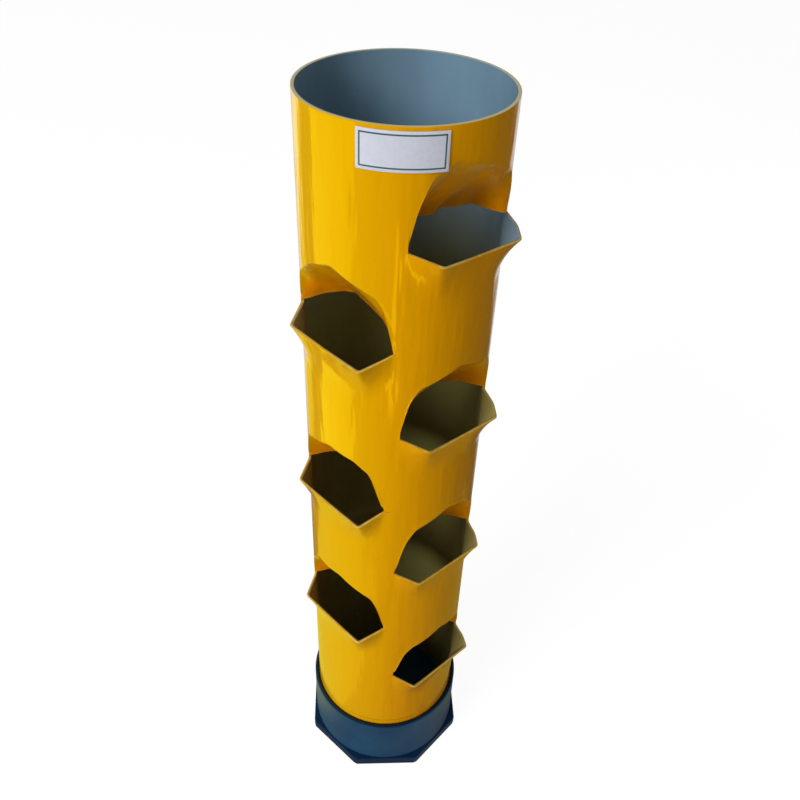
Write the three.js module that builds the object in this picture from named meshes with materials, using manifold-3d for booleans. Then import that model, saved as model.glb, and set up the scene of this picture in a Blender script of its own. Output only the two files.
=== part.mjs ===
// A vertical planter tower: one plastic pipe, heat-formed into seven pockets, standing in an octagonal base cap.
// Millimetres, +Z up. The origin is on the floor below the pipe's axis, and the front faces -Y.
// Angles are in degrees, counted from the front towards +X.
import * as THREE from "three";
import { mergeVertices } from "three/addons/utils/BufferGeometryUtils.js";
import Module from "manifold-3d";

// Pipe
const tubeRadius = 80;
const tubeWall = 2.5;
const tubeLength = 762;
const plainFacets = 24; // facets of the plain wall behind the pockets

// Pockets: two columns, one each side of the front, staggered by half a pitch
const columnAngle = 43;
const rightPocketCount = 4;
const leftPocketCount = 3;
const firstSlitDrop = 88; // from the rim down to the highest slit
const lastSlitRise = 158; // from the pipe's foot up to the lowest slit
const slitHalfAngle = 41;
const slitHeight = 3;
const slitFall = 1.4; // each slit is this much lower at its right end

// The wall above a slit is pushed in: its lip has a straight middle, and turns out to the slit's ends
const dentDepth = 49;
const dentHalfWidth = 20;
const dentHeight = 64;
const dentLipRise = 4;
const dentShoulder = 6;
const dentArchPower = 2.6;
const dentBendPower = 1.15;

// The wall below a slit is pulled out into a lip with two corners, formed by hand, so its sides differ
const lipOverhang = { left: 4.6, right: 7.8 };
const lipHalfWidth = { left: 40.5, right: 39.2 };
const lipDroop = { left: 5.7, right: 9 };
const bulgeHeight = 50;
const bulgeArchPower = 3;
const bulgeBendPower = 1.2;

// Upright lines of facets across a pocket, as shares of the slit's half angle
const dentCornerShare = 0.34;
const dentShoulderShare = 0.86;
const lipCornerShare = 0.584;
const halfLineShares = [0.17, dentCornerShare, 0.46, lipCornerShare, 0.72, dentShoulderShare, 0.94, 1];
const dentRows = 4;
const bulgeRows = 4;

// Base cap
const runningGap = 0.5; // between the pipe and its socket
const seatGap = 0.3; // between faces that rest on each other
const floorHeight = 18;
const floorThickness = 4;
const collarHeight = 77.7;
const collarWall = 3.5; // at the mouth, outside the ring's groove
const footSides = 8;
const footHeight = 12;
const footLedge = 1.8; // how far the foot's flats stand out from the collar
const footTurn = 1.5;
const footPlate = 4;
const footSkirt = 4;
const recessLand = 7; // width of the step from the collar's outside in to the recess below the floor
const hubRadius = 15;
const ribThickness = 3;
const ribClearance = 2; // between the ribs and the ground
const capSegments = 72;
const joinOverlap = 0.5; // how far pieces of the cap run into each other before they are joined

// Seal ring: a flange on the collar's rim, and a tongue down into the mouth
const flangeHeight = 2.6;
const tongueThickness = 0.9;
const tongueDepth = 8;

// Label
const labelWidth = 62;
const labelHeight = 27.3;
const labelThickness = 0.3;
const labelDrop = 2.8; // from the rim
const labelAngle = -2.5;
const labelFacets = 12;

// Heights and radii that follow from these
const tubeBottom = floorHeight + seatGap;
const tubeRim = tubeBottom + tubeLength;
const pocketPitch = (tubeLength - firstSlitDrop - lastSlitRise) / (rightPocketCount - 1);
const socketRadius = tubeRadius + runningGap;
const ringBore = tubeRadius + seatGap;
const tongueRadius = ringBore + tongueThickness;
const grooveRadius = tongueRadius + seatGap;
const grooveDepth = tongueDepth + seatGap;
const collarRadius = grooveRadius + collarWall;
const flangeBottom = collarHeight + seatGap;
const floorBottom = floorHeight - floorThickness;
const plateBottom = footHeight - footPlate;
const footApothem = collarRadius + footLedge;

const fullTurn = 360;
const radians = THREE.MathUtils.degToRad;
const lerp = THREE.MathUtils.lerp;

// Turns a place in a column's own directions, outward and sideways, into a point of the part
function columnPoint(column, outward, sideways, height) {
  const turn = radians(column);
  return new THREE.Vector3(
    outward * Math.sin(turn) + sideways * Math.cos(turn),
    sideways * Math.sin(turn) - outward * Math.cos(turn),
    height,
  );
}

function wallPoint(angle, height) {
  return columnPoint(angle, tubeRadius, 0, height);
}

// Reads a line of stations, each a share along the lip and its outward, sideways and upward place
function trace(stations, share) {
  const last = stations.length - 1;
  const next = Math.max(1, stations.findIndex((station) => station.share >= share));
  const b = stations[next > last ? last : next];
  const a = stations[stations.indexOf(b) - 1];
  const t = (share - a.share) / (b.share - a.share);
  return {
    outward: lerp(a.outward, b.outward, t),
    sideways: lerp(a.sideways, b.sideways, t),
    up: lerp(a.up, b.up, t),
  };
}

const endOutward = tubeRadius * Math.cos(radians(slitHalfAngle));
const endSideways = tubeRadius * Math.sin(radians(slitHalfAngle));
const leftEnd = { share: -1, outward: endOutward, sideways: -endSideways, up: 0 };
const rightEnd = { share: 1, outward: endOutward, sideways: endSideways, up: 0 };

const dentLip = [
  leftEnd,
  { share: -dentShoulderShare, outward: endOutward, sideways: dentShoulder - endSideways, up: 0 },
  { share: -dentCornerShare, outward: tubeRadius - dentDepth, sideways: -dentHalfWidth, up: dentLipRise },
  { share: dentCornerShare, outward: tubeRadius - dentDepth, sideways: dentHalfWidth, up: dentLipRise },
  { share: dentShoulderShare, outward: endOutward, sideways: endSideways - dentShoulder, up: 0 },
  rightEnd,
];

function lipCorner(side, sign) {
  return {
    share: sign * lipCornerShare,
    outward: tubeRadius + lipOverhang[side],
    sideways: sign * lipHalfWidth[side],
    up: -lipDroop[side],
  };
}

const bulgeLip = [leftEnd, lipCorner("left", -1), lipCorner("right", 1), rightEnd];

// Height of an arch over the slit at a share of its half angle, one at the middle and zero at the ends
function arch(share, power) {
  return (1 - Math.abs(share) ** power) ** (1 / power);
}

const lineShares = [...halfLineShares.map((share) => -share).reverse(), 0, ...halfLineShares];

function slitEdgeHeight(slit, share, side) {
  return slit - (slitFall / 2) * share + (slitHeight / 2) * side;
}

// One row of a dent, from the lip (run 0) up to the crease in the pipe (run 1)
function dentRow(column, slit, run) {
  return lineShares.map((share) => {
    const lip = trace(dentLip, share);
    const onWall = run ** dentBendPower;
    const angle = radians(share * slitHalfAngle);
    const outward = lerp(lip.outward, tubeRadius * Math.cos(angle), onWall);
    const sideways = lerp(lip.sideways, tubeRadius * Math.sin(angle), onWall);
    const climb = lerp(lip.up, dentHeight * arch(share, dentArchPower), run);
    return columnPoint(column, outward, sideways, slitEdgeHeight(slit, share, 1) + climb);
  });
}

// One row of a bulge, from the lip (run 0) down to the pipe's own wall (run 1)
function bulgeRow(column, slit, run) {
  return lineShares.map((share) => {
    const lip = trace(bulgeLip, share);
    const offWall = (1 - run) ** bulgeBendPower;
    const angle = radians(share * slitHalfAngle);
    const outward = lerp(tubeRadius * Math.cos(angle), lip.outward, offWall);
    const sideways = lerp(tubeRadius * Math.sin(angle), lip.sideways, offWall);
    const climb = lerp(lip.up, -bulgeHeight * arch(share, bulgeArchPower), run);
    return columnPoint(column, outward, sideways, slitEdgeHeight(slit, share, -1) + climb);
  });
}

function plainRow(column, height) {
  return lineShares.map((share) => wallPoint(column + share * slitHalfAngle, height));
}

// The rows of a whole column from the pipe's foot to its rim: an array of bands, parted by the slits
function columnBands(column, slits) {
  const bands = [[plainRow(column, tubeBottom)]];
  for (const slit of [...slits].sort((a, b) => a - b)) {
    const below = bands[bands.length - 1];
    for (let row = bulgeRows; row >= 0; row -= 1) {
      below.push(bulgeRow(column, slit, row / bulgeRows));
    }
    const above = [];
    for (let row = 0; row <= dentRows; row += 1) {
      above.push(dentRow(column, slit, row / dentRows));
    }
    bands.push(above);
  }
  bands[bands.length - 1].push(plainRow(column, tubeRim));
  return bands;
}

// Fills the cells between neighbouring rows, each cut along its shorter diagonal
function fillRows(rows) {
  const triangles = [];
  for (let row = 1; row < rows.length; row += 1) {
    for (let line = 1; line < rows[row].length; line += 1) {
      const a = rows[row - 1][line - 1];
      const b = rows[row - 1][line];
      const c = rows[row][line];
      const d = rows[row][line - 1];
      if (a.distanceTo(c) < b.distanceTo(d)) {
        triangles.push([a, b, c], [a, c, d]);
      } else {
        triangles.push([a, b, d], [b, c, d]);
      }
    }
  }
  return triangles;
}

// Fills the strip between two upright lines of points that rise together, with the right line at the larger angle
function fillStrip(left, right) {
  const triangles = [];
  let i = 0;
  let j = 0;
  while (i < left.length - 1 || j < right.length - 1) {
    const leftNext = i < left.length - 1 ? left[i + 1].z : Infinity;
    const rightNext = j < right.length - 1 ? right[j + 1].z : Infinity;
    if (leftNext <= rightNext) {
      triangles.push([left[i], right[j], left[i + 1]]);
      i += 1;
    } else {
      triangles.push([left[i], right[j], right[j + 1]]);
      j += 1;
    }
  }
  return triangles;
}

// Gives a sheet of outward-facing triangles a wall inside it, and closes the wall along every free edge
function thicken(triangles, wall) {
  const keyOf = (point) => point.toArray().map((value) => value.toFixed(4)).join();
  const index = new Map();
  const outer = [];
  const faces = [];
  for (const triangle of triangles) {
    const face = triangle.map((point) => {
      const key = keyOf(point);
      if (!index.has(key)) {
        index.set(key, outer.push(point) - 1);
      }
      return index.get(key);
    });
    if (new Set(face).size === face.length) {
      faces.push(face);
    }
  }
  const normals = outer.map(() => new THREE.Vector3());
  for (const [a, b, c] of faces) {
    const side = outer[b].clone().sub(outer[a]);
    const normal = side.cross(outer[c].clone().sub(outer[a]));
    for (const corner of [a, b, c]) {
      normals[corner].add(normal);
    }
  }
  const inner = outer.map((point, corner) => point.clone().addScaledVector(normals[corner].normalize(), -wall));
  const edges = new Set();
  for (const [a, b, c] of faces) {
    edges.add([a, b].join()).add([b, c].join()).add([c, a].join());
  }
  const count = outer.length;
  const solid = [];
  for (const [a, b, c] of faces) {
    solid.push(a, b, c, c + count, b + count, a + count);
    for (const [from, to] of [[a, b], [b, c], [c, a]]) {
      if (!edges.has([to, from].join())) {
        solid.push(to, from, from + count, to, from + count, to + count);
      }
    }
  }
  const geometry = new THREE.BufferGeometry().setFromPoints([...outer, ...inner]);
  geometry.setIndex(solid);
  return geometry;
}

function tubeGeometry() {
  const highestSlit = tubeRim - firstSlitDrop;
  const rightSlits = Array.from({ length: rightPocketCount }, (_, i) => highestSlit - i * pocketPitch);
  const leftSlits = Array.from({ length: leftPocketCount }, (_, i) => highestSlit - (i + 1 / 2) * pocketPitch);
  const rightBands = columnBands(columnAngle, rightSlits);
  const leftBands = columnBands(-columnAngle, leftSlits);
  const rightRows = rightBands.flat();
  const leftRows = leftBands.flat();
  const lastLine = lineShares.length - 1;
  const edgeLine = (rows, line) => rows.map((points) => points[line]);
  const frontStrip = fillStrip(edgeLine(leftRows, lastLine), edgeLine(rightRows, 0));

  // The plain wall goes round the back, from the right column's outer edge to the left column's
  const start = columnAngle + slitHalfAngle;
  const step = (fullTurn - 2 * start) / plainFacets;
  const lines = Array.from({ length: plainFacets + 1 }, (_, i) => [
    wallPoint(start + i * step, tubeBottom),
    wallPoint(start + i * step, tubeRim),
  ]);
  lines[0] = edgeLine(rightRows, lastLine);
  lines[plainFacets] = edgeLine(leftRows, 0);
  const back = lines.slice(1).flatMap((line, i) => fillStrip(lines[i], line));

  const columns = [...rightBands, ...leftBands].flatMap(fillRows);
  return thicken([...columns, ...frontStrip, ...back], tubeWall);
}

function labelGeometry() {
  const radius = tubeRadius + seatGap + labelThickness;
  const halfAngle = THREE.MathUtils.radToDeg(labelWidth / 2 / radius);
  const top = tubeRim - labelDrop;
  const rows = [top - labelHeight, top].map((height) =>
    Array.from({ length: labelFacets + 1 }, (_, i) => {
      const share = (2 * i) / labelFacets - 1;
      return columnPoint(labelAngle + share * halfAngle, radius, 0, height);
    }),
  );
  return thicken(fillRows(rows), labelThickness);
}

// A ring turned from its outline, whose points are pairs of radius and height
function turned(outline) {
  const points = outline.map(([radius, height]) => new THREE.Vector2(radius, height));
  return new THREE.LatheGeometry(points, capSegments).rotateX(Math.PI / 2);
}

// A faceted bore clears a round piece only if its flats do, so its corners stand a little further out
const boreCorner = (radius) => radius / Math.cos(Math.PI / capSegments);

function ringGeometry() {
  const bore = boreCorner(ringBore);
  const top = flangeBottom + flangeHeight;
  const tip = collarHeight - tongueDepth;
  const outline = [
    [bore, tip],
    [tongueRadius, tip],
    [tongueRadius, flangeBottom],
    [collarRadius, flangeBottom],
    [collarRadius, top],
    [bore, top],
    [bore, tip],
  ];
  return turned(outline);
}

function footOutline(apothem) {
  const radius = apothem / Math.cos(Math.PI / footSides);
  const corners = Array.from({ length: footSides }, (_, i) => {
    const angle = footTurn + ((i + 1 / 2) * fullTurn) / footSides;
    const corner = columnPoint(angle, radius, 0, 0);
    return new THREE.Vector2(corner.x, corner.y);
  });
  return new THREE.Shape(corners);
}

function plate(outline, hole, bottom, top) {
  outline.holes.push(hole);
  const settings = { depth: top - bottom, bevelEnabled: false, curveSegments: capSegments / 4 };
  return new THREE.ExtrudeGeometry(outline, settings).translate(0, 0, bottom);
}

function rib(angle, reach, top) {
  const bar = new THREE.BoxGeometry(ribThickness, reach, top - ribClearance);
  return bar.translate(0, -reach / 2, (top + ribClearance) / 2).rotateZ(radians(angle));
}

const wasm = await Module();
wasm.setup();

function toSolid(geometry) {
  const bare = geometry.clone();
  bare.deleteAttribute("normal");
  bare.deleteAttribute("uv");
  const merged = mergeVertices(bare);
  return new wasm.Manifold(new wasm.Mesh({
    numProp: 3,
    vertProperties: new Float32Array(merged.attributes.position.array),
    triVerts: new Uint32Array(merged.index.array),
  }));
}

function toGeometry(solid) {
  const mesh = solid.getMesh();
  const geometry = new THREE.BufferGeometry();
  geometry.setAttribute("position", new THREE.BufferAttribute(mesh.vertProperties, 3));
  geometry.setIndex(new THREE.BufferAttribute(mesh.triVerts, 1));
  return geometry;
}

function capGeometry() {
  const recess = collarRadius - recessLand;
  const groove = boreCorner(grooveRadius);
  const socket = boreCorner(socketRadius);
  const body = turned([
    [0, floorBottom],
    [recess, floorBottom],
    [recess, plateBottom],
    [collarRadius, plateBottom],
    [collarRadius, collarHeight],
    [groove, collarHeight],
    [groove, collarHeight - grooveDepth],
    [socket, collarHeight - grooveDepth],
    [socket, floorHeight],
    [0, floorHeight],
  ]);
  const opening = new THREE.Path().absarc(0, 0, recess + joinOverlap, 0, 2 * Math.PI);
  const ledge = plate(footOutline(footApothem), opening, plateBottom, footHeight);
  const skirtHole = footOutline(footApothem - footSkirt);
  const skirt = plate(footOutline(footApothem), skirtHole, 0, plateBottom + joinOverlap);
  const hubHeight = floorBottom + joinOverlap;
  const hub = new THREE.CylinderGeometry(hubRadius, hubRadius, hubHeight, capSegments);
  hub.rotateX(Math.PI / 2).translate(0, 0, hubHeight / 2);
  const pieces = [ledge, skirt, hub];
  for (let i = 0; i < footSides; i += 1) {
    const angle = footTurn + (i * fullTurn) / footSides;
    pieces.push(rib(angle, footApothem - footSkirt + joinOverlap, plateBottom + joinOverlap));
    pieces.push(rib(angle, recess + joinOverlap, floorBottom + joinOverlap));
  }
  let solid = toSolid(body);
  for (const piece of pieces) {
    solid = solid.add(toSolid(piece));
  }
  return toGeometry(solid);
}

const yellowPlastic = new THREE.MeshStandardMaterial({ color: 0xe6b000, roughness: 0.22, metalness: 0 });
const navyPlastic = new THREE.MeshStandardMaterial({ color: 0x2c4a68, roughness: 0.38, metalness: 0 });
const blackRubber = new THREE.MeshStandardMaterial({ color: 0x14171a, roughness: 0.75, metalness: 0 });
const whiteVinyl = new THREE.MeshStandardMaterial({ color: 0xe6ecf2, roughness: 0.4, metalness: 0 });

function piece(name, geometry, material) {
  const mesh = new THREE.Mesh(geometry, material);
  mesh.name = name;
  return mesh;
}

const base = new THREE.Group();
base.add(piece("base_cap", capGeometry(), navyPlastic));
base.add(piece("seal_ring", ringGeometry(), blackRubber));

const tower = new THREE.Group();
tower.add(piece("tower_tube", tubeGeometry(), yellowPlastic));
tower.add(piece("label", labelGeometry(), whiteVinyl));

const planter = new THREE.Group();
planter.add(base, tower);

export default planter;
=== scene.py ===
import math

import bmesh
import bpy
from mathutils import Matrix, Vector, noise as unevenness


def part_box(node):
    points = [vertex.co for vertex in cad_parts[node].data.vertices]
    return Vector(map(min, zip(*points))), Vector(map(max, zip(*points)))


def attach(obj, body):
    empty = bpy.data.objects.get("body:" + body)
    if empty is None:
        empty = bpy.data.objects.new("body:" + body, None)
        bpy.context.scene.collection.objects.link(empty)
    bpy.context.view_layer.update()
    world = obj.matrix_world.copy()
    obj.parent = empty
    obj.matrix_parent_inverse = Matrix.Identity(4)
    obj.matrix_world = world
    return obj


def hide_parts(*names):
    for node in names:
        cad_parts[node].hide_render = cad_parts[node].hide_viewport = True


# Looks of the planter tower, over the solids of the frame, in metres.
# Angles are in degrees from the front, towards +X.
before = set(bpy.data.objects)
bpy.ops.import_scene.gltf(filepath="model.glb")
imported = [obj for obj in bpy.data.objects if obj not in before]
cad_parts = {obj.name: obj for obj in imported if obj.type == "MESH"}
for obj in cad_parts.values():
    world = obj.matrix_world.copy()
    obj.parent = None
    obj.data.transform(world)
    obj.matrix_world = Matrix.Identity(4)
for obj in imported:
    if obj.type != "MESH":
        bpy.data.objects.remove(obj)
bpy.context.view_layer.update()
bpy.context.scene.view_settings.view_transform = "Standard"
print("frame:", ", ".join(sorted(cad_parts)))


def heightsOf(node):  # of a solid's lowest and highest point
    return [corner.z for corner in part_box(node)]


pipeFoot, pipeRim = heightsOf("tower_tube")
labelFoot, labelHead = heightsOf("label")
gap = 0.0003  # that touching pieces keep
nearly = 0.0001  # a length or share too small to matter


class Wire:  # a shader value that works in sums as a number does
    def __init__(self, nodes, socket):
        self.nodes = nodes
        self.socket = socket

    def maths(self, operation, *values):
        return self.nodes.node("ShaderNodeMath", {"operation": operation}, dict(enumerate(values)))

    def __add__(self, other):
        return self.maths("ADD", self, other)

    def __sub__(self, other):
        return self.maths("SUBTRACT", self, other)

    def __rsub__(self, other):
        return self.maths("SUBTRACT", other, self)

    def __mul__(self, other):
        return self.maths("MULTIPLY", self, other)

    __radd__ = __add__
    __rmul__ = __mul__

    def size(self):
        return self.maths("ABSOLUTE", self)

    def smooth(self, start, end):  # rises from 0 at start to 1 at end
        return self.nodes.node(
            "ShaderNodeMapRange", {"interpolation_type": "SMOOTHSTEP"}, {"Value": self, 1: start, 2: end})


class Nodes:  # the shader nodes of a material or of the world
    def __init__(self, owner):
        owner.use_nodes = True
        self.tree = owner.node_tree

    def node(self, kind, settings=None, values=None, output=0):
        made = self.tree.nodes.new(kind)
        for name, setting in (settings or {}).items():
            setattr(made, name, setting)
        for name, value in (values or {}).items():
            self.join(made.inputs[name], value)
        return Wire(self, made.outputs[output])

    def join(self, socket, value):
        if isinstance(value, Wire):
            self.tree.links.new(value.socket, socket)
        else:
            socket.default_value = value


class Finish(Nodes):  # a material
    def __init__(self, name):
        self.material = bpy.data.materials.new(name)
        super().__init__(self.material)
        self.place = self.node("ShaderNodeTexCoord", output="Object")

    def set(self, **values):  # sockets of the surface shader, such as BaseColor
        shader = self.tree.nodes["Principled BSDF"]
        for socket in shader.inputs:
            name = socket.name.replace(" ", "")
            if name in values:
                self.join(socket, values[name])

    def axis(self, number):
        return self.node("ShaderNodeSeparateXYZ", None, {0: self.place}, number)

    def height(self):
        return self.axis(2)

    def bearing(self):  # the angle from the front towards +X
        return self.axis(0).maths("ARCTAN2", self.axis(0), 0 - self.axis(1))

    def noise(self, scale, detail=2, stretch=(1, 1, 1)):
        spread = self.node("ShaderNodeVectorMath", {"operation": "MULTIPLY"}, {0: self.place, 1: stretch})
        return self.node("ShaderNodeTexNoise", None, {"Vector": spread, "Scale": scale, "Detail": detail})

    def mix(self, share, first, second):
        return self.node("ShaderNodeMix", {"data_type": "RGBA"}, {0: share, 6: first, 7: second}, 2)

    def relief(self, height):  # a height in metres
        return self.node("ShaderNodeBump", None, {"Strength": 1, "Distance": 1, "Height": height})


def colour(red, green, blue):  # screen values, 0 to 255
    parts = [part / 255 for part in (red, green, blue)]
    return [part / 12.92 if part < 0.04045 else ((part + 0.055) / 1.055) ** 2.4 for part in parts] + [1]


# Paint on the outside of the pipe, with a scribed line low on its front, and painted shade: deeper orange on
# its right side and in its pushed-in dents
paintLook = {
    # The deeper orange for the right side and the warmer orange for the dents are painted shade.
    "main": colour(231, 173, 0), "deep": colour(232, 154, 0), "deepens": (-0.06, 0.03), "clouded": 0.2,
    "heated": colour(255, 157, 0), "heats": (0.1, 0.75), "shine": colour(255, 230, 70), "ior": 1.45,
    "roughness": 0.1, "cloudRoughness": 0.05, "smudgeRoughness": 0.08,
    "ripple": 0.0006, "flow": 0.0011, "grain": 0.000005,  # heights of its unevenness
    "scribe": colour(120, 80, 10), "scribeShare": 0.5, "scribeHeight": 0.0868, "scribeEdge": (0.0003, 0.0009),
    "scribeDepth": 0.0001, "scribeFrom": -29, "scribeTo": 22, "scribeFade": 4,
}
paint = Finish("glossyYellowPaint")
cloud = paint.noise(9, 3, (1, 1, 0.35))
ripple = paint.noise(22, 2, (1, 1, 0.3))
flow = paint.noise(80, 2, (1, 1, 0.14))
grain = paint.noise(900, 2)
smudge = paint.noise(60, 4, (1, 1, 0.5)).smooth(0.62, 0.8)
fromScribe = (paint.height() - paintLook["scribeHeight"]).size()
begins, ends, fade = (math.radians(paintLook[name]) for name in ("scribeFrom", "scribeTo", "scribeFade"))
alongScribe = paint.bearing().smooth(begins - fade, begins) * (1 - paint.bearing().smooth(ends, ends + fade))
scribed = (1 - fromScribe.smooth(*paintLook["scribeEdge"])) * alongScribe
# Painted shade: a warmer orange where the wall is pushed in, for the bounced light in the shaded dents
heated = paint.node("ShaderNodeAttribute", {"attribute_name": "pushedIn"}, output="Fac")
# Painted shade: deeper orange towards the right side (+X), mixed with random clouding
acrossPipe = paint.axis(0).smooth(*paintLook["deepens"])
sideShadeAndCloud = acrossPipe * (1 - paintLook["clouded"]) + cloud.smooth(0.35, 0.7) * paintLook["clouded"]
paintColour = paint.mix(sideShadeAndCloud, paintLook["main"], paintLook["deep"])
paintColour = paint.mix(heated.smooth(*paintLook["heats"]), paintColour, paintLook["heated"])
rippled = paintLook["ripple"] * ripple + paintLook["flow"] * flow + paintLook["grain"] * grain
dulled = paintLook["cloudRoughness"] * cloud + paintLook["smudgeRoughness"] * smudge
paint.set(
    BaseColor=paint.mix(scribed * paintLook["scribeShare"], paintColour, paintLook["scribe"]),
    Roughness=paintLook["roughness"] + dulled,
    IOR=paintLook["ior"],
    SpecularTint=paintLook["shine"],
    Normal=paint.relief(rippled - paintLook["scribeDepth"] * scribed),
)

# Bare plastic inside it: grey at the mouth, warmer below with a lighter middle band of painted light, and
# painted shade behind the lower right pockets
innerLook = {
    "mouth": colour(118, 148, 167), "mouthDull": colour(109, 137, 153), "mouthFrom": (0.52, 0.72),
    "middle": colour(178, 164, 88), "middleFrom": (0.47, 0.57),
    "deep": colour(152, 139, 82), "deepDull": colour(138, 124, 68),
    "soiled": colour(134, 127, 68), "soiledSide": (0.68, 0.73), "soiledFrom": (0.02, 0.07),
    "mark": colour(196, 204, 204), "markShare": 0.6,
    "roughness": 0.42, "streakRoughness": 0.12, "streakDepth": 0.0001, "grain": 0.00001,
}
inner = Finish("greyInnerPlastic")
streaks = inner.noise(24, 3, (1, 1, 0.3))
marks = inner.noise(220, 3, (1, 1, 0.25)).smooth(0.72, 0.8)
worn = streaks.smooth(0.3, 0.75)
sideX, sideY = innerLook["soiledSide"]
# Painted shade: a darker wall behind the lower right pockets
soiled = (inner.axis(0) * sideX + inner.axis(1) * sideY).smooth(*innerLook["soiledFrom"])
lowColour = inner.mix(soiled, inner.mix(worn, innerLook["deep"], innerLook["deepDull"]), innerLook["soiled"])
# Painted light: a lighter band below the mouth, where light from the mouth falls
lowColour = inner.mix(inner.height().smooth(*innerLook["middleFrom"]), lowColour, innerLook["middle"])
mouthColour = inner.mix(worn, innerLook["mouth"], innerLook["mouthDull"])
innerColour = inner.mix(inner.height().smooth(*innerLook["mouthFrom"]), lowColour, mouthColour)
inner.set(
    BaseColor=inner.mix(marks * innerLook["markShare"], innerColour, innerLook["mark"]),
    Roughness=innerLook["roughness"] + innerLook["streakRoughness"] * streaks,
    Normal=inner.relief(innerLook["streakDepth"] * streaks + innerLook["grain"] * inner.noise(700)),
)

# Sawn and hot-knife edges
cutLook = {
    "main": colour(206, 172, 66), "stain": colour(200, 148, 20), "stainDepth": 0.0001, "roughness": 0.5,
    "rim": colour(204, 196, 150), "rimFrom": (0.778, 0.7795),  # the pipe's top edge is cleaner
}
cut = Finish("creamCutEdge")
grime = cut.noise(160, 4)
stained = cut.mix(grime.smooth(0.4, 0.7), cutLook["main"], cutLook["stain"])
cut.set(
    BaseColor=cut.mix(cut.height().smooth(*cutLook["rimFrom"]), stained, cutLook["rim"]),
    Roughness=cutLook["roughness"],
    Normal=cut.relief(cutLook["stainDepth"] * grime),
)

# Moulded plastic of the base cap, darker on its foot with painted shade
baseLook = {
    "main": colour(30, 71, 102), "clouded": colour(20, 59, 90),
    "foot": colour(2, 30, 60), "footTo": (0.0119, 0.0125),
    "shine": colour(120, 180, 255), "shineLevel": 0.35, "roughness": 0.36, "cloudRoughness": 0.15,
    "sheen": colour(190, 215, 235), "sheenWeight": 0.3, "sheenRoughness": 0.4,
    "grain": 0.00001, "cloudDepth": 0.0001,
}
navy = Finish("navyMouldedPlastic")
clouding = navy.noise(22, 4)
texture = navy.noise(1500, 2)
# Painted shade: the foot below the collar is darker
footShade = 1 - navy.height().smooth(*baseLook["footTo"])
collarColour = navy.mix(clouding.smooth(0.3, 0.75), baseLook["main"], baseLook["clouded"])
navy.set(
    BaseColor=navy.mix(footShade, collarColour, baseLook["foot"]),
    Roughness=baseLook["roughness"] + baseLook["cloudRoughness"] * clouding,
    SpecularIORLevel=baseLook["shineLevel"],
    SpecularTint=baseLook["shine"],
    SheenWeight=baseLook["sheenWeight"],
    SheenRoughness=baseLook["sheenRoughness"],
    SheenTint=baseLook["sheen"],
    Normal=navy.relief(baseLook["grain"] * texture + baseLook["cloudDepth"] * clouding),
)

# Rubber of the ring
rubberLook = {
    "main": colour(7, 8, 9), "dusty": colour(20, 22, 24), "shineLevel": 0.25,
    "roughness": 0.65, "dustRoughness": 0.2, "dustDepth": 0.00003,
}
rubber = Finish("blackRubber")
dust = rubber.noise(120, 4)
rubber.set(
    BaseColor=rubber.mix(dust.smooth(0.45, 0.8), rubberLook["main"], rubberLook["dusty"]),
    Roughness=rubberLook["roughness"] + rubberLook["dustRoughness"] * dust,
    SpecularIORLevel=rubberLook["shineLevel"],
    Normal=rubber.relief(rubberLook["dustDepth"] * dust),
)
print("materials made")


def smoothed(shape, limit):  # smooth shading, with edges above the limit kept sharp
    for face in shape.faces:
        face.smooth = True
    for edge in shape.edges:
        edge.smooth = edge.calc_face_angle(math.pi) < math.radians(limit)


def finished(shape, name, node, slot, body, *finishes):
    mesh = bpy.data.meshes.new(name)
    shape.to_mesh(mesh)
    shape.free()
    for finish in finishes:
        mesh.materials.append(finish.material)
    piece = bpy.data.objects.new(name, mesh)
    bpy.context.scene.collection.objects.link(piece)
    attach(piece, body)
    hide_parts(node)
    print(name, len(mesh.polygons), "faces")


def bevelled(shape, edges, width, segments):
    bmesh.ops.bevel(
        shape, geom=edges, offset=width, offset_type="OFFSET", affect="EDGES", segments=segments,
        profile=0.5, material=-1, clamp_overlap=True)


# The pipe, heat-formed into its pockets
pipe = {
    "radius": 0.08, "wall": 0.0025, "foot": pipeFoot, "rim": pipeRim, "cutBevel": 0.0003, "sharpFrom": 28,
    "endRow": 0.001, "leastRow": 0.0009, "plainRows": [0.04, 0.0745, 0.0806, 0.0868], "backStep": 6,
}
pockets = {
    "column": 43,  # the right column, and the left one as far the other way
    "highestSlit": 0.6923,
    "pitch": 0.172,
    "halfAngle": 41,
    "halfSlit": 0.0015,
    "fall": 0.0014,  # each slit is this much lower at its right end
    "tail": 0.0005,  # half the slit's height past the ends of a dent
    "closing": 0.04,  # the share over which a slit closes beside its dent
    "uneven": 0.0007,  # how far the heated wall wanders
    "unevenScale": (2.2, 38, 90),  # along the opening, up it and from pocket to pocket
    "halfShares": [0.06, 0.12, 0.18, 0.24, 0.29, 0.32, 0.34, 0.36, 0.39, 0.43, 0.47, 0.51, 0.54, 0.56, 0.572,
                   0.584, 0.596, 0.608, 0.63, 0.66, 0.7, 0.74, 0.78, 0.82, 0.86, 0.9, 0.94, 0.97, 1],
    # Rows of faces above and below a slit, in millimetres from its edge
    "dentRows": [0, 1.5, 4, 8, 13, 19, 26, 33, 40, 46, 51, 55, 58, 60.5, 62.5, 64, 65.5, 67.5, 71, 80],
    "bulgeRows": [0, 1, 3, 7, 13, 20, 28, 36, 43, 48, 53, 62],
    "sideFade": 0.125,  # the share over which its wandering fades out at its two sides
    "farRun": 9,  # stands for a place far past the crease
}
dent = {
    "rowHeight": 0.064, "bendPower": 1.15, "reach": 0.08, "rounding": 0.03, "easing": 0.35, "least": 0.006,
    "archRounding": 0.05, "ridge": 0.0006, "ridgeWidth": 0.08,
}
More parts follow.
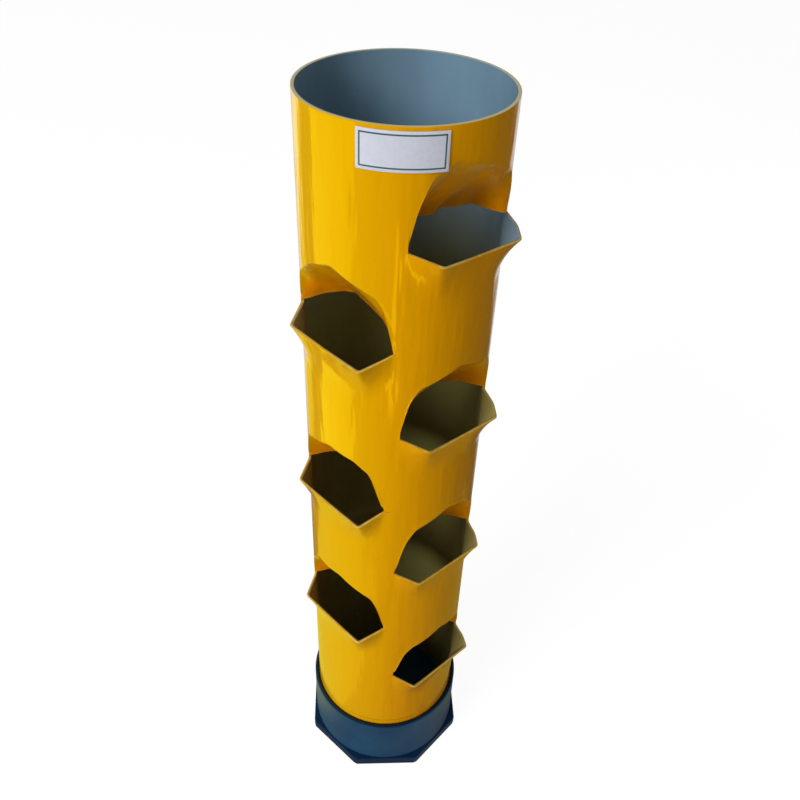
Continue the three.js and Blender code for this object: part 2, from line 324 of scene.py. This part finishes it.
bulge = {
    "rowHeight": 0.05, "bendPower": 2, "reach": 0.062, "rounding": 0.04, "archPower": 3, "crease": 0.08,
    "corner": 0.584, "bowWay": Vector((0.6, 0.9, 0)), "spread": 1.02, "thinned": 0.35,
}


def bothSides(half):  # a line of shares and values, from the middle out to the right end
    return [(-share, *values) for share, *values in reversed(half[1:])] + half


# How deep the wall above a slit is pushed in and how far its lip rises, by the share along the opening
squareLip = bothSides([
    (0, 0.049, 0.004), (0.34, 0.0467, 0.004), (0.5, 0.041, 0.003), (0.74, 0.025, 0.0015),
    (0.84, 0.016, 0.0005), (0.93, 0.006, 0), (1, 0, 0)])
wavyLip = squareLip[:5] + [
    (-0.33, 0.047, 0.004), (-0.13, 0.041, 0.004), (0.11, 0.0455, 0.004), (0.33, 0.037, 0.004),
    (0.56, 0.0315, 0.003), (0.72, 0.007, 0.001), (0.82, 0.001, 0), (1, 0, 0)]
tiltedLip = [
    (-1, 0, 0), (-0.93, 0.006, 0), (-0.74, 0.025, 0.004), (-0.5, 0.041, 0.007), (-0.31, 0.046, 0.009),
    (0, 0.047, 0.0045), (0.25, 0.0447, 0), (0.56, 0.0315, 0), (0.88, 0.0095, 0), (1, 0, 0)]


def slitAt(steps):  # so many pitches below the highest slit, to a tenth of a millimetre
    return round(pockets["highestSlit"] - steps * pockets["pitch"], 4)


# Each pocket's slit, how soft the crease above it is, its crease's corners as share and height, and its lips.
# The corners of a lower lip are given outward, sideways and up, and its right side may be bowed.
usualCorners = [(0.0846, -0.0405, -0.0057), (0.0878, 0.0392, -0.009)]
left, right = -pockets["column"], pockets["column"]
madePockets = [
    {"column": right, "slit": slitAt(0), "soft": 0.13, "lip": wavyLip, "bow": 0.0026,
     "corners": usualCorners,
     "crease": [(-1, 0), (-0.91, 0.027), (-0.72, 0.052), (-0.4, 0.0615), (0.25, 0.05), (0.8, 0.034), (1, 0)]},
    {"column": right, "slit": slitAt(1), "soft": 0.045, "lip": squareLip, "bow": 0.0024,
     "corners": usualCorners,
     "crease": [(-1, 0), (-0.92, 0.032), (-0.75, 0.05), (-0.1, 0.063), (0.7, 0.045), (0.92, 0.026), (1, 0)]},
    {"column": right, "slit": slitAt(2), "soft": 0.035, "lip": squareLip, "bow": 0.002,
     "corners": [(0.0825, -0.04, -0.0057), (0.085, 0.041, -0.009)],
     "crease": [(-0.99, 0), (-0.85, 0.04), (-0.68, 0.058), (-0.1, 0.073), (0.3, 0.066), (0.85, 0.036),
                (0.99, 0)]},
    {"column": right, "slit": slitAt(3), "soft": 0.035, "lip": squareLip, "bow": 0.0018,
     "corners": [(0.086, -0.0395, -0.0057), (0.0875, 0.043, -0.009)],
     "crease": [(-0.94, 0), (-0.75, 0.036), (-0.6, 0.046), (0, 0.058), (0.33, 0.05), (0.8, 0.033),
                (0.97, 0)]},
    {"column": left, "slit": slitAt(0.5), "soft": 0.04, "lip": tiltedLip, "bow": 0,
     "corners": usualCorners,
     "crease": [(-1, 0), (-0.85, 0.032), (-0.36, 0.054), (0.05, 0.0625), (0.74, 0.046), (0.86, 0.03),
                (0.96, 0)]},
    {"column": left, "slit": slitAt(1.5), "soft": 0.03, "lip": squareLip, "bow": 0,
     "corners": usualCorners,
     "crease": [(-0.97, 0), (-0.75, 0.04), (-0.05, 0.056), (0.4, 0.052), (0.67, 0.041), (0.89, 0)]},
    {"column": left, "slit": slitAt(2.5), "soft": 0.03, "lip": squareLip, "bow": 0,
     "corners": usualCorners,
     "crease": [(-0.98, 0), (-0.85, 0.036), (-0.5, 0.058), (0.1, 0.062), (0.72, 0.044), (0.85, 0.027),
                (0.95, 0)]},
]


def along(line, share):  # the line's values at a share, and zero past its ends
    if not line[0][0] <= share <= line[-1][0]:
        return [0] * (len(line[0]) - 1)
    for (a, *first), (b, *second) in zip(line, line[1:]):
        if share <= b:
            return [low + (high - low) * (share - a) / (b - a) for low, high in zip(first, second)]


def rounded(line, share, window):  # the same with its corners rounded off
    steps = [-1, -0.6, -0.2, 0.2, 0.6, 1]
    near = [along(line, share + window * step) for step in steps]
    return [sum(values) / len(steps) for values in zip(*near)]


def onWall(share):  # outward, sideways and up from a column's axis, at a share of the slit's half angle
    turn = math.radians(share * pockets["halfAngle"])
    return Vector((pipe["radius"] * math.cos(turn), pipe["radius"] * math.sin(turn), 0))


def openingEnd(made, share):  # where the opening ends, on this share's side
    return made["crease"][-1][0] if share > 0 else made["crease"][0][0]


def pushedLip(made, share, run):  # the lip's waves ease off up the dent
    part = min(1, share / openingEnd(made, share)) * (1 if share > 0 else -1)
    window = dent["rounding"] + dent["easing"] * min(1, run)
    depth, up = rounded(made["lip"], part, min(window, 1 - abs(part)))
    return onWall(share) - Vector((depth, 0, -up))


def pulledLip(made, share):
    start, end = made["crease"][0][0], made["crease"][-1][0]
    if not start < share < end:
        return onWall(share)
    corner = bulge["corner"]
    leftCorner, rightCorner = made["corners"]
    bowed = (Vector(rightCorner) + onWall(end)) / 2 + bulge["bowWay"] * made["bow"]
    line = [
        (start, *onWall(start)), (-corner, *leftCorner), (corner, *rightCorner),
        ((corner + end) / 2, *bowed), (end, *onWall(end))]
    return Vector(rounded(line, share, min(bulge["rounding"], share - start, end - share)))


def arch(share, power):
    return max(0, 1 - abs(share) ** power) ** (1 / power)


def softStep(value, softness):  # max(value, 0) with its corner rounded
    return (value + math.hypot(value, softness)) / 2


# A point this far above the pocket's slit, or below it where side is -1, and how far it is pushed
def formed(made, share, rise, side):
    if side > 0:
        form = dent
        arc = rounded(made["crease"], share, dent["archRounding"])[0]
        spread = max(arc, dent["least"])
    else:
        form = bulge
        arc = bulge["rowHeight"] * arch(share, bulge["archPower"])
        spread = bulge["rowHeight"] * arch(share / bulge["spread"], bulge["archPower"])
    offset = min(rise, form["rowHeight"]) / form["rowHeight"] * spread
    if rise > form["rowHeight"]:
        offset += (rise - form["rowHeight"]) / (form["reach"] - form["rowHeight"]) * (form["reach"] - spread)
    run = offset / arc if arc > nearly else pockets["farRun"]  # 1 at the crease, and more past it
    if side > 0:
        lip = pushedLip(made, share, run)
        weight = softStep(1 - run ** form["bendPower"], made["soft"]) / softStep(1, made["soft"])
    else:
        lip = pulledLip(made, share)
        weight = (softStep(1 - run, bulge["crease"]) / softStep(1, bulge["crease"])) ** form["bendPower"]
    place = onWall(share).lerp(lip, weight)
    alongScale, upScale, pocketScale = pockets["unevenScale"]
    wander = unevenness.noise(Vector((share * alongScale, rise * upScale, made["slit"] * pocketScale + side)))
    near = 1 - offset / form["reach"]  # fades out at the form's far row
    inside = min(1, (1 - abs(share)) / pockets["sideFade"])
    place.x += pockets["uneven"] * wander * min(1, 4 * weight * (1 - weight)) * near * inside
    if side > 0:
        ridge = max(0, 1 - abs(run - 1) / dent["ridgeWidth"])
        place += onWall(share).normalized() * (dent["ridge"] * ridge * ridge * (3 - 2 * ridge) * inside)
    end = abs(openingEnd(made, share))
    past = min(1, max(0, (abs(share) - end) / pockets["closing"] + 1)) if end < 1 else 0
    half = pockets["halfSlit"] - (pockets["halfSlit"] - pockets["tail"]) * past * near
    tilt = -pockets["fall"] / 2 * share * near
    place.z = made["slit"] + side * (half + offset) + lip.z * max(0, 1 - run) + tilt
    return turned(place, made["column"]), side * weight


def turned(place, column):  # outward, sideways and up, from the column's own direction
    turn = math.radians(column)
    return Vector((
        place.x * math.sin(turn) + place.y * math.cos(turn),
        place.y * math.sin(turn) - place.x * math.cos(turn),
        place.z))


# A point of the formed wall, and how far it is pushed in, or out where that is negative
def pipePoint(angle, height):
    for made in madePockets:
        share = (angle - made["column"]) / pockets["halfAngle"]
        above = height - made["slit"] - pockets["halfSlit"]
        below = made["slit"] - pockets["halfSlit"] - height
        if abs(share) < 1 + nearly:
            share = max(-1, min(1, share))
            if -nearly < above < dent["reach"]:
                return formed(made, share, max(above, 0), 1)
            if -nearly < below < bulge["reach"]:
                return formed(made, share, max(below, 0), -1)
    return turned(Vector((pipe["radius"], 0, height)), angle), 0


def gridLines():
    half = pockets["halfShares"]
    shares = [-share for share in reversed(half)] + [0] + half
    onLeft = [left + share * pockets["halfAngle"] for share in shares]
    onRight = [right + share * pockets["halfAngle"] for share in shares]
    count = round((180 - onRight[-1]) / pipe["backStep"])
    back = [onRight[-1] + (180 - onRight[-1]) * step / count for step in range(1, count + 1)]
    return [-angle for angle in reversed(back)] + onLeft + [0] + onRight + back


def gridLevels():
    kept = {pipe["foot"], pipe["foot"] + pipe["endRow"], pipe["rim"] - pipe["endRow"], pipe["rim"]}
    others = set(pipe["plainRows"])
    for slit in [made["slit"] for made in madePockets]:
        top, bottom = slit + pockets["halfSlit"], slit - pockets["halfSlit"]
        kept |= {top, bottom}
        others |= {top + row / 1000 for row in pockets["dentRows"][1:]}
        others |= {bottom - row / 1000 for row in pockets["bulgeRows"][1:]}
    for level in sorted(others):
        if all(abs(level - near) > pipe["leastRow"] for near in kept):
            kept.add(level)
    return sorted(kept)


painted, bare, sawn = range(3)  # the pipe's finishes, in the order in which it gets them


def isSawn(face):
    return face.material_index == sawn


def makePipe():
    lines, levels = gridLines(), gridLevels()
    shape = bmesh.new()
    bmesh.ops.create_grid(shape, x_segments=len(lines) - 1, y_segments=len(levels) - 1, size=1)
    kerf = []  # the faces that the slits take away
    for face in shape.faces:
        middle = face.calc_center_median()
        line = int((middle.x + 1) / 2 * (len(lines) - 1))
        level = int((middle.y + 1) / 2 * (len(levels) - 1))
        angle = (lines[line] + lines[line + 1]) / 2
        height = (levels[level] + levels[level + 1]) / 2
        for made in madePockets:
            besideColumn = abs(angle - made["column"]) < pockets["halfAngle"]
            if besideColumn and abs(height - made["slit"]) < pockets["halfSlit"]:
                kerf.append(face)
    pushedIn = shape.verts.layers.float.new("pushedIn")
    for vert in shape.verts:
        line = round((vert.co.x + 1) / 2 * (len(lines) - 1))
        level = round((vert.co.y + 1) / 2 * (len(levels) - 1))
        vert.co, vert[pushedIn] = pipePoint(lines[line], levels[level])
    bmesh.ops.delete(shape, geom=kerf, context="FACES")
    bmesh.ops.remove_doubles(shape, verts=shape.verts, dist=0.00001)
    shape.normal_update()
    outside = set(shape.faces)
    inside = set(bmesh.ops.solidify(shape, geom=shape.faces[:], thickness=pipe["wall"])["geom"])
    for face in shape.faces:
        face.material_index = painted if face in outside else bare if face in inside else sawn
    between = [edge for edge in shape.edges if sum(isSawn(face) for face in edge.link_faces) == 1]
    for edge in shape.edges:
        if all(isSawn(face) for face in edge.link_faces):
            outer, within = sorted(edge.verts, key=lambda vert: outside.isdisjoint(vert.link_faces))
            within.co = within.co.lerp(outer.co, bulge["thinned"] * max(0, -outer[pushedIn]))
    bevelled(shape, between, pipe["cutBevel"], 2)
    smoothed(shape, pipe["sharpFrom"])
    return shape


finished(makePipe(), "formedPipe", "tower_tube", "tube", "tower", paint, inner, cut)


# The base cap: one turned body, whose foot is then pulled out to eight sides
cap = {
    "steps": 144, "sides": 8, "turn": 1.5, "bevel": 0.0006, "bevelFrom": 30, "sharpFrom": 12,
    "collar": 0.085, "mouth": 0.0815, "socket": 0.0805, "height": 0.0777, "grooveDepth": 0.0083,
    "floor": 0.018, "underFloor": 0.014, "recess": 0.078,
    "foot": 0.0868, "ledge": 0.012, "underPlate": 0.008, "skirt": 0.0828,
    "hub": 0.015, "hubSteps": 72, "hubBevel": 0.0005,
    "rib": 0.003, "ribGap": 0.002, "ribStart": 0.005, "ribBevel": 0.0003,
    "overlap": 0.001,  # how far ribs and hub go into the body
}


def spun(profile, steps):  # a closed outline of radius and height, turned about the axis
    shape = bmesh.new()
    verts = [shape.verts.new((0, -radius, height)) for radius, height in profile]
    edges = [shape.edges.new(pair) for pair in zip(verts, verts[1:])]
    bmesh.ops.spin(
        shape, geom=verts + edges, cent=(0, 0, 0), axis=(0, 0, 1), angle=2 * math.pi, steps=steps,
        use_merge=True)
    bmesh.ops.remove_doubles(shape, verts=shape.verts, dist=0.000001)
    bmesh.ops.recalc_face_normals(shape, faces=shape.faces)
    return shape


def sharpEdges(shape, limit):
    return [edge for edge in shape.edges if edge.calc_face_angle(0) > math.radians(limit)]


def onFootSide(vert):  # round the foot, but not where the collar meets its top
    radius = vert.co.xy.length
    low = vert.co.z < cap["ledge"] + nearly
    return low and radius > cap["skirt"] - nearly and abs(radius - cap["collar"]) > nearly


def makeRib(reach, top, turn):
    rib = bmesh.new()
    bmesh.ops.create_cube(rib, size=1)
    outer, high = reach + cap["overlap"], top + cap["overlap"]
    size = (cap["rib"], outer - cap["ribStart"], high - cap["ribGap"])
    bmesh.ops.scale(rib, vec=size, verts=rib.verts)
    middle = (0, -(outer + cap["ribStart"]) / 2, (high + cap["ribGap"]) / 2)
    bmesh.ops.translate(rib, vec=middle, verts=rib.verts)
    bevelled(rib, rib.edges[:], cap["ribBevel"], 2)
    bmesh.ops.rotate(rib, cent=(0, 0, 0), matrix=Matrix.Rotation(turn, 3, "Z"), verts=rib.verts)
    return rib


def makeHub():
    hub = bmesh.new()
    depth = cap["underFloor"] + cap["overlap"]
    bmesh.ops.create_cone(
        hub, cap_ends=True, segments=cap["hubSteps"], radius1=cap["hub"], radius2=cap["hub"], depth=depth)
    bmesh.ops.translate(hub, vec=(0, 0, depth / 2), verts=hub.verts)
    bevelled(hub, sharpEdges(hub, cap["bevelFrom"]), cap["hubBevel"], 2)
    return hub


def makeCap():
    groove = cap["height"] - cap["grooveDepth"]
    shape = spun([
        (0, cap["floor"]), (cap["socket"], cap["floor"]), (cap["socket"], groove), (cap["mouth"], groove),
        (cap["mouth"], cap["height"]), (cap["collar"], cap["height"]), (cap["collar"], cap["ledge"]),
        (cap["foot"], cap["ledge"]), (cap["foot"], 0), (cap["skirt"], 0), (cap["skirt"], cap["underPlate"]),
        (cap["recess"], cap["underPlate"]), (cap["recess"], cap["underFloor"]), (0, cap["underFloor"]),
    ], cap["steps"])
    sector = 2 * math.pi / cap["sides"]
    for vert in shape.verts:
        if onFootSide(vert):
            angle = math.atan2(vert.co.x, -vert.co.y) - math.radians(cap["turn"])
            vert.co.xy *= 1 / math.cos((angle + sector / 2) % sector - sector / 2)
    bevelled(shape, sharpEdges(shape, cap["bevelFrom"]), cap["bevel"], 3)
    for index in range(cap["sides"]):
        turn = math.radians(cap["turn"]) + index * sector
        addTo(shape, makeRib(cap["skirt"], cap["underPlate"], turn))
        addTo(shape, makeRib(cap["recess"], cap["underFloor"], turn))
    addTo(shape, makeHub())
    smoothed(shape, cap["sharpFrom"])
    return shape


def addTo(shape, extra):
    mesh = bpy.data.meshes.new("extra")
    extra.to_mesh(mesh)
    extra.free()
    shape.from_mesh(mesh)
    bpy.data.meshes.remove(mesh)


finished(makeCap(), "baseCap", "base_cap", "base", "base", navy)


# The rubber ring: a rounded flange over the collar's rim, and a tongue down inside it
ring = {
    "bore": pipe["radius"] + gap, "tongue": cap["mouth"] - gap, "edge": 0.0832,
    "tip": cap["height"] - cap["grooveDepth"] + gap, "under": cap["height"] + gap, "top": 0.0803,
    "steps": 144, "rounding": 0.0009, "roundFrom": 30, "bevel": 0.0002, "bevelFrom": 60, "sharpFrom": 50,
}


def makeRing():
    shape = spun([
        (ring["bore"], ring["tip"]), (ring["tongue"], ring["tip"]), (ring["tongue"], ring["under"]),
        (ring["edge"], ring["under"]), (ring["edge"], ring["top"]), (ring["bore"], ring["top"]),
        (ring["bore"], ring["tip"]),
    ], ring["steps"])
    sharp = sharpEdges(shape, ring["roundFrom"])
    upper = [edge for edge in sharp if edge.verts[0].co.z > ring["top"] - nearly]
    bevelled(shape, upper, ring["rounding"], 4)
    bevelled(shape, sharpEdges(shape, ring["bevelFrom"]), ring["bevel"], 2)
    smoothed(shape, ring["sharpFrom"])
    return shape


finished(makeRing(), "sealRing", "seal_ring", "seal", "ring", rubber)


# The bare label, with a plain printed border
label = {
    "width": 0.062, "bottom": labelFoot, "top": labelHead, "angle": -2.5, "thickness": 0.0003,
    "columns": 40, "rows": 8, "bevel": 0.00008, "bevelFrom": 60, "sharpFrom": 28,
    "inset": 0.0021, "line": 0.0011, "lineBlur": 0.0001, "inkShare": 0.95,
    "paper": colour(216, 216, 226), "paperDull": colour(211, 212, 223), "ink": colour(20, 84, 78),
    "roughness": 0.3, "fibreRoughness": 0.1, "fibreDepth": 0.00001, "shineLevel": 0.25,
}
vinyl = Finish("whiteVinyl")
labelMiddle = (label["bottom"] + label["top"]) / 2
labelRadius = pipe["radius"] + gap + label["thickness"]
sideways = (vinyl.bearing() - math.radians(label["angle"])) * labelRadius
fromSide = label["width"] / 2 - sideways.size()
fromEnd = (label["top"] - label["bottom"]) / 2 - (vinyl.height() - labelMiddle).size()
fromEdge = fromSide.maths("MINIMUM", fromSide, fromEnd)
halfLine = label["line"] / 2
fromLine = fromEdge - (label["inset"] + halfLine)
printed = 1 - fromLine.size().smooth(halfLine - label["lineBlur"], halfLine + label["lineBlur"])
fibre = vinyl.noise(300, 3)
paperColour = vinyl.mix(fibre.smooth(0.4, 0.7), label["paper"], label["paperDull"])
vinyl.set(
    BaseColor=vinyl.mix(printed * label["inkShare"], paperColour, label["ink"]),
    Roughness=label["roughness"] + label["fibreRoughness"] * fibre,
    SpecularIORLevel=label["shineLevel"],
    Normal=vinyl.relief(label["fibreDepth"] * fibre),
)


def makeLabel():
    shape = bmesh.new()
    bmesh.ops.create_grid(shape, x_segments=label["columns"], y_segments=label["rows"], size=0.5)
    arc = label["width"] / labelRadius
    for vert in shape.verts:
        angle = math.radians(label["angle"]) + vert.co.x * arc
        height = labelMiddle + vert.co.y * (label["top"] - label["bottom"])
        vert.co = (labelRadius * math.sin(angle), -labelRadius * math.cos(angle), height)
    shape.normal_update()
    bmesh.ops.solidify(shape, geom=shape.faces[:], thickness=label["thickness"])
    bevelled(shape, sharpEdges(shape, label["bevelFrom"]), label["bevel"], 2)
    smoothed(shape, label["sharpFrom"])
    return shape


finished(makeLabel(), "bareLabel", "label", "label", "tower", vinyl)


# Floor, light and camera
studio = {
    "white": colour(255, 255, 255), "floorSize": 12, "floorDrop": 0.0004,
    "floorColour": colour(182, 182, 182), "mirroredFloor": colour(72, 66, 34),
    "glow": 1.06, "seenGlow": 0.88, "mirroredGlow": 0.03,
    "backGlow": 0.8, "backGlowFrom": (0, 0.4),  # the gloss sees a bright floor behind the tower
    "ambient": 0.25, "mirroredWorld": 0.2,
    "floorRoughness": 0.9, "floorShine": 0.1,
    "camera": (-0.0188, -0.5811, 0.9726), "lens": 37.18, "sensor": 36,
    "cameraTurn": -2.33, "cameraDown": 39.28, "cameraRoll": 2.41,
    "key": {"size": (2.4, 3.3), "from": (-3.15, -3.2, 3.55), "aim": (0, 0, 0.4), "watts": 246,
            "tint": (0.92, 0.95, 1)},
    "fill": {"size": (0.5, 0.25), "from": (-0.45, -1, 0.06), "aim": (0, 0, 0.15), "watts": 1.7,
             "tint": (0.95, 0.97, 1)},
    "back": {"size": (1.4, 1.2), "from": (1.9, 1, 0.5), "aim": (0, 0, 0.3), "watts": 6,
             "tint": (1, 0.97, 0.92)},
    "reflectors": [  # panels that only the gloss sees
        {"size": (0.34, 0.5), "from": (-0.34, -0.1, 0.43), "aim": (0, 0, 0.43), "watts": 1.3,
         "tint": (1, 1, 0.03)},
        {"size": (0.18, 0.8), "from": (-0.306, 0.257, 0.28), "aim": (0, 0, 0.28), "watts": 0.4,
         "tint": (1, 0.9, 0.03)},
        {"size": (0.34, 0.5), "from": (-0.27, -0.08, 0.003), "aim": (-0.27, -0.08, 1), "watts": 0.38,
         "tint": (1, 0.9, 0.03)},
        {"size": (0.34, 0.5), "from": (0.27, -0.04, 0.003), "aim": (0.27, -0.04, 1), "watts": 0.13,
         "tint": (1, 0.75, 0.02)},
        {"size": (0.05, 0.26), "from": (-0.03, -0.375, 0.43), "aim": (0, 0, 0.43), "watts": 0.2,
         "tint": (1, 0.85, 0.04)},
    ],
}


def makeFloor():
    shape = bmesh.new()
    bmesh.ops.create_grid(shape, x_segments=1, y_segments=1, size=studio["floorSize"] / 2)
    bmesh.ops.translate(shape, vec=(0, 0, -studio["floorDrop"]), verts=shape.verts)
    mesh = bpy.data.meshes.new("floor")
    shape.to_mesh(mesh)
    shape.free()
    floor = bpy.data.objects.new("floor", mesh)
    bpy.context.scene.collection.objects.link(floor)
    white = Finish("whiteFloor")
    seen = white.node("ShaderNodeLightPath", output="Is Camera Ray")
    mirrored = white.node("ShaderNodeLightPath", output="Is Glossy Ray")
    matt = white.mix(mirrored, studio["floorColour"], studio["mirroredFloor"])
    white.set(
        BaseColor=white.mix(seen, matt, studio["white"]),
        Roughness=studio["floorRoughness"],
        SpecularIORLevel=studio["floorShine"],
    )
    glow = white.node("ShaderNodeEmission", None, {"Color": studio["white"], "Strength": studio["glow"]})
    shader = Wire(white, white.tree.nodes["Principled BSDF"].outputs[0])
    behind = (white.axis(1) - white.axis(0).size()).smooth(*studio["backGlowFrom"])
    mirroredShare = mirrored * (behind * studio["backGlow"] + studio["mirroredGlow"])
    share = seen * studio["seenGlow"] + mirroredShare
    shown = white.node("ShaderNodeMixShader", None, {0: share, 1: shader, 2: glow})
    white.join(white.tree.nodes["Material Output"].inputs[0], shown)
    mesh.materials.append(white.material)


def makeWorld():  # white to the camera, and dimmer to the gloss and to matt surfaces
    world = bpy.data.worlds.new("studioWorld")
    bpy.context.scene.world = world
    sky = Nodes(world)
    strength = studio["ambient"]
    levels = {"Is Glossy Ray": studio["mirroredWorld"], "Is Transmission Ray": 1, "Is Camera Ray": 1}
    for kind, level in levels.items():
        chosen = sky.node("ShaderNodeLightPath", output=kind)
        strength = sky.node("ShaderNodeMix", None, {0: chosen, 2: strength, 3: level})
    back = sky.tree.nodes["Background"]
    sky.join(back.inputs["Color"], studio["white"])
    sky.join(back.inputs["Strength"], strength)


def makeLamp(name, lamp):
    light = bpy.data.lights.new(name, "AREA")
    light.shape = "RECTANGLE"
    light.size, light.size_y = lamp["size"]
    light.energy = lamp["watts"]
    light.color = lamp["tint"]
    holder = bpy.data.objects.new(name, light)
    holder.location = lamp["from"]
    holder.rotation_euler = (Vector(lamp["aim"]) - Vector(lamp["from"])).to_track_quat("-Z", "Y").to_euler()
    holder.visible_camera = False
    bpy.context.scene.collection.objects.link(holder)
    return holder


makeFloor()
makeWorld()
makeLamp("keyLight", studio["key"])
for name in ("back", "fill"):
    makeLamp(name + "Light", studio[name]).visible_glossy = False
for number, reflector in enumerate(studio["reflectors"]):
    makeLamp(f"reflector{number}", reflector).visible_diffuse = False

view = bpy.data.cameras.new("photoView")
view.lens = studio["lens"]
view.sensor_width = studio["sensor"]
camera = bpy.data.objects.new("photoView", view)
camera.matrix_world = (
    Matrix.Translation(studio["camera"])
    @ Matrix.Rotation(math.radians(studio["cameraTurn"]), 4, "Z")
    @ Matrix.Rotation(math.radians(90 - studio["cameraDown"]), 4, "X")
    @ Matrix.Rotation(math.radians(studio["cameraRoll"]), 4, "Z"))
bpy.context.scene.collection.objects.link(camera)
bpy.context.scene.camera = camera
print("studio ready")
